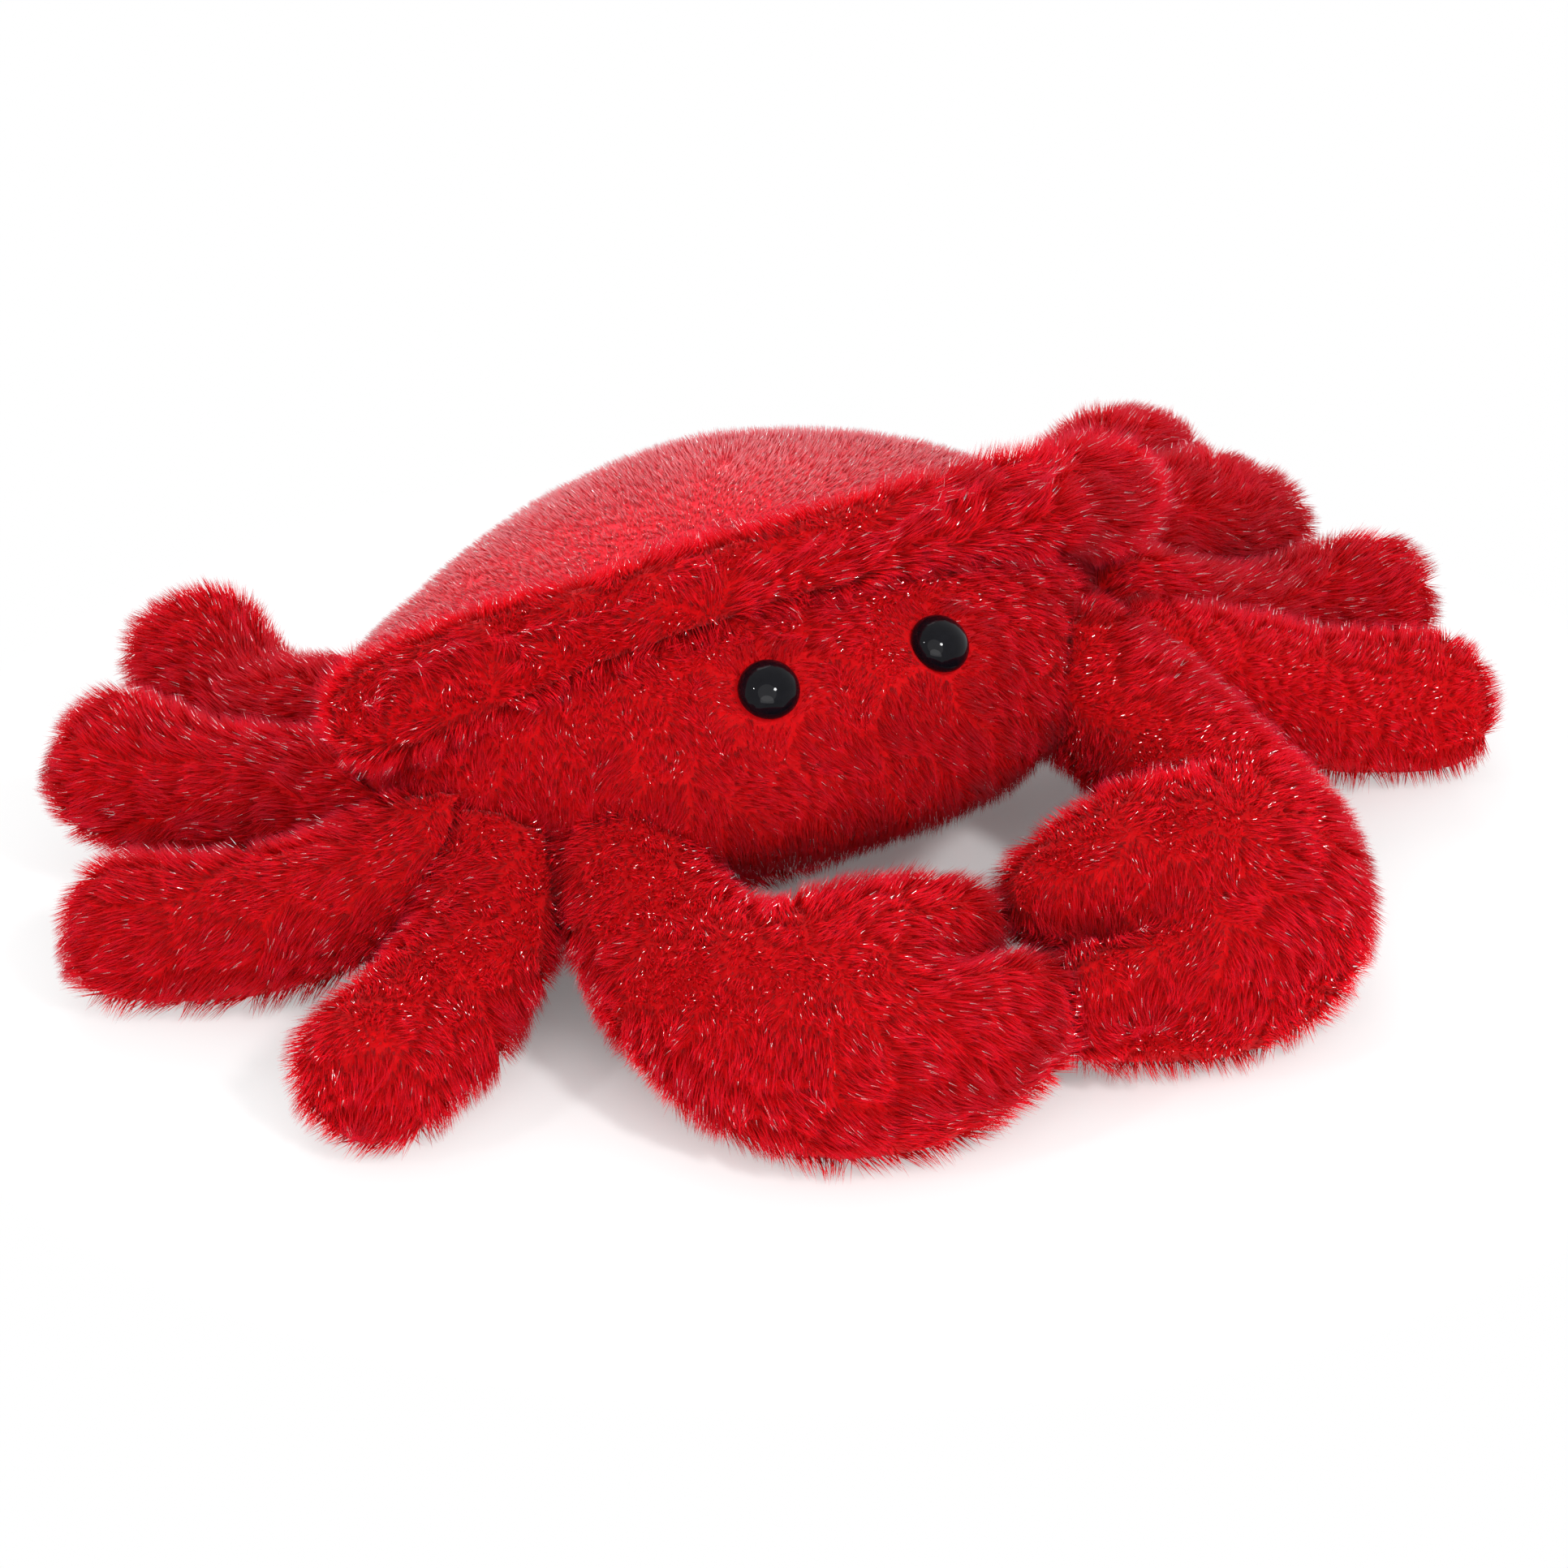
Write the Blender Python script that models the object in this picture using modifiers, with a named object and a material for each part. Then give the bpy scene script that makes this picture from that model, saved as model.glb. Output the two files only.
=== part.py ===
# A sewn and stuffed crab: a torso bag under a domed shell, a rolled rim along the shell's front
# edge, eight curved legs, two arms that end in pincers, and two domed eyes held by lock washers.
# Metres, +Z up. The crab looks along -Y, so its right side is at -X.
import math

import bmesh
import bpy
from mathutils import Matrix, Vector
from mathutils.bvhtree import BVHTree

# Fits between pieces that touch
SEAM_GAP = 0.0003  # between a piece and the one that it is sewn or pressed against
SEAT_DEPTH = 0.016  # how far a limb's root reaches into the space that the torso then takes
FLOOR_SINK = 0.0020  # how far a resting foot or pincer would pass the floor before it is flattened

# Torso bag, seen from above as two half ovals that meet at the side corners
TORSO_HALF_WIDTH = 0.067
TORSO_FRONT = 0.049
TORSO_BACK = 0.042
TORSO_CENTRE_Y = -0.004
CORNER_TAPER = 1.3  # over 1 draws the outline to a point at the side corners
TORSO_HEIGHT = 0.058
BELLY_SINK = 0.004  # the belly bulges this far past the floor before it is flattened
# Height as a share of the bag's, then the sides', front's and back's reach as shares of the outline
TORSO_LEVELS = (
    (0.00, 0.50, 0.20, 0.46),
    (0.14, 0.76, 0.38, 0.76),
    (0.31, 0.88, 0.80, 0.88),
    (0.52, 0.95, 0.95, 0.90),
    (0.74, 0.94, 1.02, 0.78),
    (0.91, 0.64, 0.90, 0.62),
    (1.00, 0.28, 0.38, 0.32),
)

# Domed shell over the bag
SHELL_BACK_SETBACK = 0.003  # short of the back of the bag
SHELL_CROWN = 0.0085  # above the top of the bag
SHELL_HALF_WIDTH = TORSO_HALF_WIDTH
SHELL_FRONT = 0.031
SHELL_BACK = TORSO_BACK - SHELL_BACK_SETBACK
SHELL_TOP = TORSO_HEIGHT + SHELL_CROWN
SHELL_SIDE_DROP = 0.017  # of the shell's edge below the top of the bag, at the side corners
SHELL_FRONT_DROP = 0.005
SHELL_BACK_DROP = 0.028
SHELL_SIDE_EDGE = TORSO_HEIGHT - SHELL_SIDE_DROP
SHELL_FRONT_EDGE = TORSO_HEIGHT - SHELL_FRONT_DROP
SHELL_BACK_EDGE = TORSO_HEIGHT - SHELL_BACK_DROP
SHELL_TUCK = 0.010  # how far the edge turns in under itself
# Reach as a share of the outline, and rise as a share of the height from the edge to the top
SHELL_LEVELS = ((1.00, 0.00), (0.85, 0.26), (0.67, 0.58), (0.44, 0.86), (0.20, 1.00))

# Rolled rim from one side corner to the other
RIM_INSET = 0.001  # of the rim's ends from the sides of the bag
RIM_CORNER_RISE = 0.0045  # above the shell's edge
RIM_FRONT_RISE = 0.0085
RIM_LEAN = 0.0020  # how far the left end is lifted and the right end let down
RIM_HALF_SPAN = TORSO_HALF_WIDTH - RIM_INSET
RIM_SETBACK = 0.004  # of the rim's middle from the shell's front edge
RIM_SWEEP = 0.018  # of the corners behind the middle
RIM_FRONT_Y = TORSO_CENTRE_Y - SHELL_FRONT + RIM_SETBACK
RIM_CORNER_Y = RIM_FRONT_Y + RIM_SWEEP
RIM_CORNER_HEIGHT = SHELL_SIDE_EDGE + RIM_CORNER_RISE
RIM_FRONT_HEIGHT = SHELL_FRONT_EDGE + RIM_FRONT_RISE
RIM_RADIUS = 0.0062  # at the middle
RIM_CORNER_RADIUS = 0.0092
RIM_FALL = 2.2  # over 2 keeps the middle of the rim level and drops it towards the corners
RIM_CAP_SHARE = 0.5  # length and radius of each rounded end, as a share of the corner's radius

# Legs, from the root to the foot
LEG_LENGTH = 0.060
LEG_ROOT_RADIUS = 0.0105
LEG_FOOT_RADIUS = 0.0125
LEG_TIP_REACH = 0.5  # length of the rounded foot, as a share of its radius
LEG_TIP_SHARE = 0.62  # radius of the last ring, as a share of the foot's
# Place of the root round the torso's plan in degrees and how far out it is as a share of the outline,
# heading of each quarter of the leg in degrees from +X, and how far the underside is off the floor
# at the root and after each quarter, in radii of the foot
LEG_POSES = {
    "leg_right_1": ((143.8, 0.850), (122, 102, 96, 96), (1.44, 0.96, 0.40, 0.56, 1.44)),
    "leg_right_2": ((183.4, 0.822), (130, 120, 122, 144), (1.28, 0.96, 0.48, 0.56, 0.96)),
    "leg_right_3": ((206.8, 0.920), (172, 152, 142, 146), (1.20, 0.72, 0.16, 0.00, 0.00)),
    "leg_right_4": ((214.1, 0.865), (238, 216, 207, 206), (1.20, 0.72, 0.24, 0.00, 0.00)),
    "leg_left_1": ((24.7, 1.035), (28, 34, 38, 40), (1.28, 1.52, 1.68, 1.04, 0.48)),
    "leg_left_2": ((10.9, 1.055), (20, 24, 28, 34), (1.60, 1.60, 1.36, 0.56, 0.20)),
    "leg_left_3": ((343.8, 1.100), (8, 12, 10, -8), (1.44, 0.80, 0.32, 0.32, 0.24)),
    "leg_left_4": ((324.9, 1.160), (0, -3, -7, -13), (1.44, 0.96, 0.32, 0.00, 0.00)),
}

# Arms and pincers
ARM_RADIUS = 0.0120
WRIST_HALF_WIDTH = 0.0150
HEEL_HALF_WIDTH = 0.0190  # where the arm opens into the palm
PALM_HALF_WIDTH = 0.0230
PALM_HALF_THICKNESS = 0.0165
FINGER_LENGTH = 0.024
FINGER_TIP_SHARE = 0.66  # the finger's tip as a share of half the palm
FINGER_CLOSING = 0.0030  # how far each fingertip leans towards the other
FINGER_STEPS = ((0.34, 0.90), (0.38, 0.86), (0.28, FINGER_TIP_SHARE))  # share of length, size
# Place of the root as on a leg, then for each ring across the arm: its centre in plan from the root
# in half widths of the palm, the heading of the stuffed tube there in degrees, the tilt of the palm
# in degrees, and how far its underside is off the floor in radii of the arm
CLAW_POSES = {
    "claw_right": (
        (227.7, 0.665),
        (
            ((0.00, 0.00), -100, 0, 1.33),
            ((-0.30, -0.78), -98, 0, 1.00),
            ((-0.43, -1.48), -84, 8, 0.50),
            ((-0.30, -2.20), -50, 18, 0.08),
            ((0.04, -2.58), -20, 24, 0.00),
            ((0.57, -2.60), 12, 24, 0.00),
        ),
    ),
    "claw_left": (
        (318.8, 0.913),
        (
            ((0.00, 0.00), -84, 0, 1.67),
            ((0.22, -0.78), -86, 0, 1.33),
            ((0.26, -1.48), -100, -12, 0.83),
            ((0.22, -2.04), -130, -30, 0.17),
            ((-0.17, -2.45), -158, -40, 0.00),
            ((-0.74, -2.44), -184, -44, 0.00),
        ),
    ),
}

# Eyes: a glossy dome on a ribbed shank, pushed through the cloth into a lock washer
EYE_DIAMETER = 0.0092
EYE_HEIGHT = 0.0062
EYE_SPACING = 0.029
EYE_DROP = 0.009  # below the top of the bag
EYE_LEVEL = TORSO_HEIGHT - EYE_DROP
EYE_INSET = 0.0026  # how deep the back of the dome sits under the pile
EYE_BACK = 0.42  # height of the dome's widest part, as a share of its height
EYE_BACK_RADIUS = 0.62  # radius of its flat back, as a share of the dome's
SHANK_RADIUS = 0.0014
SHANK_LENGTH = 0.0090
SHANK_RIB = 0.0002
SHANK_TIP_SHARE = 0.6
WASHER_RADIUS = 0.0045
WASHER_THICKNESS = 0.0010
WASHER_DEPTH = 0.0045  # from the back of the dome to the washer

# How finely each form is divided before it is smoothed
RING_POINTS = 18
RIM_POINTS = 8
LIMB_POINTS = 10
CLAW_POINTS = 12
TURN_STEPS = 16
MERGE_DISTANCE = 0.00001  # of points that a turned profile leaves on its axis

# Colours, linear
LONG_PILE_RED = (0.58, 0.006, 0.012)
SHORT_PILE_RED = (0.50, 0.030, 0.050)
EYE_BLACK = (0.006, 0.006, 0.007)
WASHER_WHITE = (0.70, 0.70, 0.68)

for old in list(bpy.data.objects):
    bpy.data.objects.remove(old, do_unlink=True)

parts = bpy.data.collections.new("plush_crab")
helpers = bpy.data.collections.new("cutters")
bpy.context.scene.collection.children.link(parts)
bpy.context.scene.collection.children.link(helpers)

origin = bpy.data.objects.new("crab_origin", None)
parts.objects.link(origin)


def plain_material(name, colour, roughness):
    material = bpy.data.materials.new(name)
    material.use_nodes = True
    shader = material.node_tree.nodes["Principled BSDF"]
    shader.inputs["Base Color"].default_value = (*colour, 1.0)
    shader.inputs["Roughness"].default_value = roughness
    shader.inputs["Metallic"].default_value = 0.0
    return material


def add_object(name, mesh, collection):
    piece = bpy.data.objects.new(name, mesh)
    collection.objects.link(piece)
    piece.parent = origin
    if collection is helpers:
        piece.hide_render = True
        piece.display_type = "WIRE"
    return piece


def mesh_from(bm, name):
    """Closes a cage's bmesh into a smooth mesh with its faces pointing out."""
    bmesh.ops.recalc_face_normals(bm, faces=bm.faces)
    mesh = bpy.data.meshes.new(name)
    bm.to_mesh(mesh)
    bm.free()
    mesh.shade_smooth()
    return mesh


def soft_piece(name, mesh, collection, grow=0.0):
    """A cage smoothed once by subdivision, and swelled by grow where it is a cutter."""
    piece = add_object(name, mesh, collection)
    smooth = piece.modifiers.new("Smooth", "SUBSURF")
    smooth.levels = 1
    smooth.render_levels = 1
    if grow:
        swell = piece.modifiers.new("Swell", "DISPLACE")
        swell.strength = grow
        swell.mid_level = 0.0
    return piece


def cut(piece, cutter, name, solver="EXACT"):
    """Takes the cutter out of the piece. MANIFOLD serves the limbs, which EXACT loses now and then."""
    boolean = piece.modifiers.new(name, "BOOLEAN")
    boolean.operation = "DIFFERENCE"
    boolean.solver = solver
    boolean.object = cutter


def loft(bm, rings):
    """Skins rings of as many points each, and closes both ends. Returns the last end's face."""
    rows = [[bm.verts.new(point) for point in ring] for ring in rings]
    for lower, upper in zip(rows, rows[1:]):
        for i in range(len(lower)):
            j = (i + 1) % len(lower)
            bm.faces.new((lower[i], lower[j], upper[j], upper[i]))
    bm.faces.new(rows[0][::-1])
    return bm.faces.new(rows[-1])


def oval_point(angle, half_width, front, back, height):
    """A point of the plan outline, at an angle from +X, with its own reach to front and back."""
    lean = math.sin(angle)
    reach = back if lean > 0 else -front
    across = half_width * math.cos(angle)
    return Vector((across, TORSO_CENTRE_Y + reach * abs(lean) ** CORNER_TAPER, height))


def ring_angles():
    return [math.tau * i / RING_POINTS for i in range(RING_POINTS)]


def torso_mesh(name):
    bm = bmesh.new()
    rings = []
    for height_share, side, front, back in TORSO_LEVELS:
        height = height_share * (TORSO_HEIGHT + BELLY_SINK) - BELLY_SINK
        rings.append(
            [
                oval_point(a, side * TORSO_HALF_WIDTH, front * TORSO_FRONT, back * TORSO_BACK, height)
                for a in ring_angles()
            ]
        )
    loft(bm, rings)
    return mesh_from(bm, name)


def shell_edge_height(angle):
    """The shell's edge is high over the face, lower at the sides and lowest at the back."""
    lean = math.sin(angle)
    end = SHELL_BACK_EDGE if lean > 0 else SHELL_FRONT_EDGE
    return SHELL_SIDE_EDGE + (end - SHELL_SIDE_EDGE) * lean * lean


def shell_mesh(name):
    bm = bmesh.new()
    inner = 1 - SHELL_TUCK / SHELL_HALF_WIDTH
    levels = ((inner, 0.0),) + SHELL_LEVELS
    rings = []
    for share, rise in levels:
        ring = []
        for angle in ring_angles():
            edge = shell_edge_height(angle)
            height = edge + rise * (SHELL_TOP - edge)
            if share == inner:
                height -= SHELL_TUCK
            ring.append(
                oval_point(
                    angle,
                    share * SHELL_HALF_WIDTH,
                    share * SHELL_FRONT,
                    share * SHELL_BACK,
                    height,
                )
            )
        rings.append(ring)
    loft(bm, rings)
    return mesh_from(bm, name)


def tube_ring(centre, heading, half_width, half_height, count, tilt=0.0):
    """An oval ring across a tube that runs along heading, turned about it by tilt."""
    along = heading.normalized()
    side = Vector((0, 0, 1)).cross(along).normalized()
    rise = along.cross(side)
    turn = Matrix.Rotation(tilt, 3, along)
    side = turn @ side
    rise = turn @ rise
    return [
        centre
        + side * half_width * math.cos(math.tau * i / count)
        + rise * half_height * math.sin(math.tau * i / count)
        for i in range(count)
    ]


def rim_mesh(name):
    bm = bmesh.new()
    stations = RING_POINTS // 2
    shares = [-1 + 2 * i / stations for i in range(stations + 1)]
    centres = []
    for share in shares:
        fall = abs(share) ** RIM_FALL
        centres.append(
            Vector(
                (
                    RIM_HALF_SPAN * share,
                    RIM_FRONT_Y + (RIM_CORNER_Y - RIM_FRONT_Y) * share * share,
                    RIM_FRONT_HEIGHT + (RIM_CORNER_HEIGHT - RIM_FRONT_HEIGHT) * fall
                    + RIM_LEAN * share,
                )
            )
        )
    radii = [RIM_RADIUS + (RIM_CORNER_RADIUS - RIM_RADIUS) * share * share for share in shares]
    headings = [
        centres[min(i + 1, stations)] - centres[max(i - 1, 0)] for i in range(stations + 1)
    ]
    cap = RIM_CAP_SHARE * RIM_CORNER_RADIUS
    ends = []
    for index, sign in ((0, -1), (stations, 1)):
        centre = centres[index] + headings[index].normalized() * sign * cap
        ends.append(tube_ring(centre, headings[index], cap, cap, RIM_POINTS))
    rings = [
        tube_ring(centre, heading, radius, radius, RIM_POINTS)
        for centre, heading, radius in zip(centres, headings, radii)
    ]
    loft(bm, [ends[0]] + rings + [ends[1]])
    return mesh_from(bm, name)


def limb_root(angle, share):
    """Where a limb leaves the torso, so that it stays on the torso's outline."""
    outline = (share * TORSO_HALF_WIDTH, share * TORSO_FRONT, share * TORSO_BACK)
    return oval_point(math.radians(angle), *outline, 0.0)


def leg_mesh(name, pose):
    """A stuffed tube that leaves the torso, comes down in four quarters and rests on its foot."""
    root, headings, shares = pose
    lifts = [share * LEG_FOOT_RADIUS for share in shares]
    step = LEG_LENGTH / len(headings)
    radii = [
        LEG_ROOT_RADIUS + (LEG_FOOT_RADIUS - LEG_ROOT_RADIUS) * i / len(headings)
        for i in range(len(lifts))
    ]
    place = limb_root(*root)
    centres = [place + Vector((0, 0, lifts[0] + radii[0] - FLOOR_SINK))]
    for degrees, lift, radius in zip(headings, lifts[1:], radii[1:]):
        angle = math.radians(degrees)
        climb = lift + radius - FLOOR_SINK - centres[-1].z
        reach = math.sqrt(max(step * step - climb * climb, 0.0))
        place = place + Vector((math.cos(angle), math.sin(angle), 0)) * reach
        centres.append(place + Vector((0, 0, lift + radius - FLOOR_SINK)))
    first = (centres[1] - centres[0]).normalized()
    last = (centres[-1] - centres[-2]).normalized()
    centres.insert(0, centres[0] - first * SEAT_DEPTH)
    radii.insert(0, LEG_ROOT_RADIUS)
    tip = centres[-1]
    centres[-1] = tip - last * LEG_TIP_REACH * LEG_FOOT_RADIUS
    centres.append(tip)
    radii.append(LEG_FOOT_RADIUS * LEG_TIP_SHARE)
    rings = []
    for i, (centre, radius) in enumerate(zip(centres, radii)):
        ahead = centres[min(i + 1, len(centres) - 1)]
        behind = centres[max(i - 1, 0)]
        rings.append(tube_ring(centre, ahead - behind, radius, radius, LIMB_POINTS))
    bm = bmesh.new()
    loft(bm, rings)
    return mesh_from(bm, name)


def grow_finger(bm, face, along, lean):
    """Draws one half of the palm's end out into a finger, in three steps."""
    for length, size in FINGER_STEPS:
        face = bmesh.ops.extrude_discrete_faces(bm, faces=[face])["faces"][0]
        centre = face.calc_center_median()
        move = along * FINGER_LENGTH * length + lean * length
        bmesh.ops.scale(bm, vec=(size, size, size), space=Matrix.Translation(-centre), verts=face.verts)
        bmesh.ops.translate(bm, vec=move, verts=face.verts)


def claw_mesh(name, pose):
    """An arm that widens into a palm, whose end divides into two fingers."""
    widths = (ARM_RADIUS,) * 2 + (WRIST_HALF_WIDTH, HEEL_HALF_WIDTH) + (PALM_HALF_WIDTH,) * 2
    heights = (ARM_RADIUS,) * 3 + (PALM_HALF_THICKNESS,) * 3
    rings = []
    root, stations = pose
    for ((x, y), degrees, tilt, lift), half_width, half_height in zip(stations, widths, heights):
        angle = math.radians(degrees)
        heading = Vector((math.cos(angle), math.sin(angle), 0))
        lean = math.radians(tilt)
        depth = math.hypot(half_width * math.sin(lean), half_height * math.cos(lean))
        centre = limb_root(*root) + Vector((x, y, 0.0)) * PALM_HALF_WIDTH
        centre.z = lift * ARM_RADIUS + depth - FLOOR_SINK
        if not rings:
            seat = centre - heading * SEAT_DEPTH
            rings.append(tube_ring(seat, heading, half_width, half_height, CLAW_POINTS))
        rings.append(tube_ring(centre, heading, half_width, half_height, CLAW_POINTS, lean))
    bm = bmesh.new()
    end = loft(bm, rings)
    side = (rings[-1][0] - rings[-1][CLAW_POINTS // 2]).normalized()
    corners = list(end.verts)
    top = corners[CLAW_POINTS // 4]
    bottom = corners[3 * CLAW_POINTS // 4]
    other, _ = bmesh.utils.face_split(end, top, bottom)
    for half in (end, other):
        away = (half.calc_center_median() - centre).dot(side)
        grow_finger(bm, half, heading, side * math.copysign(FINGER_CLOSING, -away))
    return mesh_from(bm, name)


def turned_mesh(name, profile):
    """The open profile that a Screw turns, from its top on the axis to its end on the axis."""
    mesh = bpy.data.meshes.new(name)
    points = [(radius, 0, height) for radius, height in profile]
    edges = [(i, i + 1) for i in range(len(profile) - 1)]
    mesh.from_pydata(points, edges, [])
    return mesh


def turned_piece(name, profile, collection, place, axis):
    """The profile turned about its height, set at place with that height along axis."""
    piece = add_object(name, turned_mesh(name, profile), collection)
    piece.location = place
    piece.rotation_euler = axis.to_track_quat("Z", "Y").to_euler()
    turn = piece.modifiers.new("Turn", "SCREW")
    turn.steps = TURN_STEPS
    turn.render_steps = TURN_STEPS
    turn.use_merge_vertices = True
    turn.merge_threshold = MERGE_DISTANCE
    return piece


def eye_profile():
    radius = EYE_DIAMETER / 2
    rise = 1 - EYE_BACK
    arc = []
    for degrees in range(0, 101, 20):
        angle = math.radians(degrees)
        arc.append((radius * math.sin(angle), EYE_HEIGHT * (EYE_BACK + rise * math.cos(angle))))
    end = -SHANK_LENGTH
    rib = -(WASHER_DEPTH + 2 * WASHER_THICKNESS)
    return arc + [
        (EYE_BACK_RADIUS * radius, 0.0),
        (SHANK_RADIUS, 0.0),
        (SHANK_RADIUS, rib + SHANK_RIB),
        (SHANK_RADIUS + SHANK_RIB, rib),
        (SHANK_RADIUS, rib - SHANK_RIB),
        (SHANK_TIP_SHARE * SHANK_RADIUS, end),
        (0.0, end),
    ]


def washer_profile():
    inner = SHANK_RADIUS + SHANK_RIB + SEAM_GAP
    top = -WASHER_DEPTH
    bottom = top - WASHER_THICKNESS
    return [(inner, top), (WASHER_RADIUS, top), (WASHER_RADIUS, bottom), (inner, bottom), (inner, top)]


def eye_pocket_profile():
    """The seat of the dome, the hole of the shank and the pocket of the washer, in one cutter."""
    seat = EYE_DIAMETER / 2 + SEAM_GAP
    hole = SHANK_RADIUS + SHANK_RIB + SEAM_GAP
    pocket = WASHER_RADIUS + SEAM_GAP
    top = -WASHER_DEPTH + SEAM_GAP
    bottom = -WASHER_DEPTH - WASHER_THICKNESS - SEAM_GAP
    return [
        (0.0, 2 * EYE_HEIGHT),
        (seat, 2 * EYE_HEIGHT),
        (seat, -SEAM_GAP),
        (hole, -SEAM_GAP),
        (hole, top),
        (pocket, top),
        (pocket, bottom),
        (hole, bottom),
        (hole, -SHANK_LENGTH - SEAM_GAP),
        (0.0, -SHANK_LENGTH - SEAM_GAP),
    ]


# Materials
long_pile = plain_material("long_pile_plush", LONG_PILE_RED, 0.9)
short_pile = plain_material("short_pile_plush", SHORT_PILE_RED, 0.9)
eye_plastic = plain_material("eye_plastic", EYE_BLACK, 0.08)
washer_plastic = plain_material("washer_plastic", WASHER_WHITE, 0.5)

# Floor that flattens whatever rests on it
floor_bm = bmesh.new()
bmesh.ops.create_cube(floor_bm, size=1.0, matrix=Matrix.Translation((0, 0, -0.5)))
floor_block = add_object("floor_block", mesh_from(floor_bm, "floor_block"), helpers)

# Torso, shell and rim
torso = soft_piece("body", torso_mesh("body"), parts)
torso_form = soft_piece("body_form", torso_mesh("body_form"), helpers)
torso_cutter = soft_piece("body_cutter", torso_mesh("body_cutter"), helpers, SEAM_GAP)
cut(torso, floor_block, "Belly rest")
shell = soft_piece("shell", shell_mesh("shell"), parts)
shell_cutter = soft_piece("shell_cutter", shell_mesh("shell_cutter"), helpers, SEAM_GAP)
cut(shell, torso_cutter, "Torso seat")
rim = soft_piece("shell_rim", rim_mesh("shell_rim"), parts)
rim_cutter = soft_piece("rim_cutter", rim_mesh("rim_cutter"), helpers, SEAM_GAP)
cut(rim, torso_cutter, "Torso seat")
cut(rim, shell_cutter, "Shell seat")
torso.data.materials.append(long_pile)
shell.data.materials.append(short_pile)
rim.data.materials.append(long_pile)

# Limbs, each pressed against the one before it on its side
LIMB_ORDER = (
    ("claw_right", "leg_right_4", "leg_right_3", "leg_right_2", "leg_right_1"),
    ("claw_left", "leg_left_4", "leg_left_3", "leg_left_2", "leg_left_1"),
)
pincer_cutters = []
for side_names in LIMB_ORDER:
    neighbours = list(pincer_cutters)
    for name in side_names:
        make = claw_mesh if name in CLAW_POSES else leg_mesh
        pose = CLAW_POSES.get(name) or LEG_POSES[name]
        limb = soft_piece(name, make(name, pose), parts)
        limb.data.materials.append(long_pile)
        for cutter in [floor_block, torso_cutter, shell_cutter, rim_cutter] + neighbours:
            cut(limb, cutter, "Seat against " + cutter.name, "MANIFOLD")
        cutter = soft_piece(name + "_cutter", make(name + "_cutter", pose), helpers, SEAM_GAP)
        neighbours.append(cutter)
        if name in CLAW_POSES:
            pincer_cutters.append(cutter)

# Eyes, seated on the face where a line from the front meets it
bpy.context.view_layer.update()
face_tree = BVHTree.FromObject(torso_form, bpy.context.evaluated_depsgraph_get())
for side_name, sign in (("right", -1), ("left", 1)):
    start = Vector((sign * EYE_SPACING / 2, -1.0, EYE_LEVEL))
    place, normal, _, _ = face_tree.ray_cast(start, Vector((0, 1, 0)))
    seat = place - normal * EYE_INSET
    eye = turned_piece("eye_" + side_name, eye_profile(), parts, seat, normal)
    eye.data.materials.append(eye_plastic)
    washer = turned_piece("eye_washer_" + side_name, washer_profile(), parts, seat, normal)
    washer.data.materials.append(washer_plastic)
    pocket = turned_piece("eye_pocket_" + side_name, eye_pocket_profile(), helpers, seat, normal)
    cut(torso, pocket, "Eye pocket " + side_name)

# The crab stands over the origin: the middle of its plan is at zero, and the floor is at zero
bpy.context.view_layer.update()
graph = bpy.context.evaluated_depsgraph_get()
corners = []
for piece in parts.objects:
    if piece.type == "MESH":
        placed = piece.evaluated_get(graph)
        corners += [placed.matrix_world @ Vector(corner) for corner in placed.bound_box]
for axis in (0, 1):
    values = [corner[axis] for corner in corners]
    origin.location[axis] = -(min(values) + max(values)) / 2
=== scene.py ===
# %% [markdown]
# # A plush crab in two kinds of pile
# The crab is thirteen sewn bags: a torso, a domed back, a rolled brow, eight legs and two arms
# that end in pincers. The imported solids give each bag's place and size, up to about the middle
# of the pile. This lesson sews a backing cloth inside each solid, grows the pile on it, and then
# sets the eyes, the floor and the lights.

# %% Load the sewn forms
import heapq
import math

import bpy
import numpy as np
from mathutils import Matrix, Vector, noise
from mathutils.bvhtree import BVHTree
from mathutils.kdtree import KDTree


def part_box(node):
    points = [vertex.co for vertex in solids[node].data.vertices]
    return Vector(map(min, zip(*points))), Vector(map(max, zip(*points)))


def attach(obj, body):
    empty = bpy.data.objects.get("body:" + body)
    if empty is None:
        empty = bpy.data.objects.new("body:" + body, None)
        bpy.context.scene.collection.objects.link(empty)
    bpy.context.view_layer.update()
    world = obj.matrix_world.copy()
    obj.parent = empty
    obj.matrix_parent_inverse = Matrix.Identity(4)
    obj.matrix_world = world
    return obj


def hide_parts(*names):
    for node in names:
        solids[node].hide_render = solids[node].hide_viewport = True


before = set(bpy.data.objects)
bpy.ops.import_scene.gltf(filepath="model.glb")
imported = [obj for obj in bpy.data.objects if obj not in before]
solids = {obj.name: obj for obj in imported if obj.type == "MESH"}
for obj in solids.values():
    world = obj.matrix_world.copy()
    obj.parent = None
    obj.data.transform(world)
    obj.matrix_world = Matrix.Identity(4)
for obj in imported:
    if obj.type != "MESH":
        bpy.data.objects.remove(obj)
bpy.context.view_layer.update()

# %% [markdown]
# ## Camera
# The photograph looks down on the crab from its right front, with a long lens, so that near and
# far legs come out at nearly the same scale. The camera is set by an azimuth and an elevation
# round a point low on the face, which falls on the middle of the picture.

# %% Set the camera
VIEW_AZIMUTH = math.radians(-30.1)
VIEW_ELEVATION = math.radians(28.1)
VIEW_DISTANCE = 1.0
LENS_PER_SENSOR = 4.375
VIEW_POINT = Vector((-0.0233, -0.0286, 0.0348))


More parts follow.
